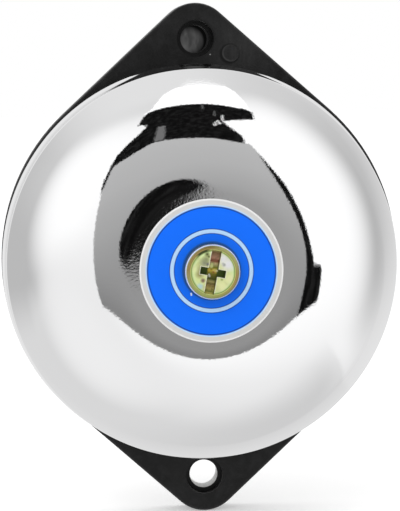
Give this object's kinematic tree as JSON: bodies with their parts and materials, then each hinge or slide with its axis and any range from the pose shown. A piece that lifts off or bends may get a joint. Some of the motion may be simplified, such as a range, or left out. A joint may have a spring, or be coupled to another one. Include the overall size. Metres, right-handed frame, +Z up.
{
  "type": "electric bell",
  "caption": "Wall-mounted electric bell: a chromed dome gong over a coil, an armature and a sprung striker, on a black moulded base with screw holes in its ears.",
  "frame": {"origin": "centre of the base's wall face, on the axis of the gong's screw", "axes": "+Z up the wall, towards the upper ear; +Y into the wall; the gong and its label face -Y; +X to the right as seen from the front"},
  "size_m": [0.056, 0.0301, 0.072],
  "materials": {
    "base_black": "moulded, fine matte texture",
    "chrome_plate": "bright nickel-chrome plate on pressed steel",
    "label_print": "blue print with a pale ring and a silver edge",
    "yellow_zinc": "yellow-passivated zinc plate",
    "bright_zinc": "bright zinc plate",
    "soft_iron": "plain soft iron, lightly oiled",
    "spring_steel": "bright spring steel",
    "copper_wire": "enamelled copper",
    "coil_wrap": "varnished wrap",
    "bobbin_white": "natural nylon",
    "phenolic": "phenolic moulding",
    "brass": "turned and stamped brass",
    "rubber_black": "moulded rubber",
    "fibre": "vulcanised fibre",
    "insulating_sheet": "insulating sheet",
    "lead_red": "flexible insulation",
    "lead_black": "flexible insulation"
  },
  "bodies": {
    "frame": {"base_plate": "base_black", "back_disc": "insulating_sheet", "post_screw": "bright_zinc", "gong_post": "bright_zinc", "gong_seat_washer": "fibre", "gong": "chrome_plate", "gong_label": "label_print", "gong_screw": "yellow_zinc", "yoke": "bright_zinc", "yoke_screws": "bright_zinc", "core": "soft_iron", "pole_shim": "brass", "bobbin": "bobbin_white", "winding": "copper_wire", "coil_tape": "coil_wrap", "coil_lead_a": "lead_red", "coil_lead_b": "lead_black", "terminal_block": "phenolic", "terminal_plates": "brass", "terminal_washers": "bright_zinc", "terminal_screws": "bright_zinc", "inlet_grommet": "rubber_black", "pivot_pin": "spring_steel", "pivot_clip": "spring_steel", "stop_pin": "spring_steel", "stop_sleeve": "rubber_black", "spring_post": "spring_steel", "return_spring": "spring_steel"},
    "striker": {"striker_lever": "bright_zinc", "armature": "soft_iron", "armature_rivets": "soft_iron", "striker_rod": "spring_steel", "striker_ball": "brass"}
  },
  "joints": [
    {"name": "striker_swing", "type": "hinge", "parent": "frame", "child": "striker", "pos_m": [0.01325, -0.0128, 0.0046], "axis": [0, -1, 0], "range_deg": [0, 5], "stiffness_Nm_per_rad": 0.05, "springref_deg": -1.72, "deforming": ["return_spring"]}
  ]
}
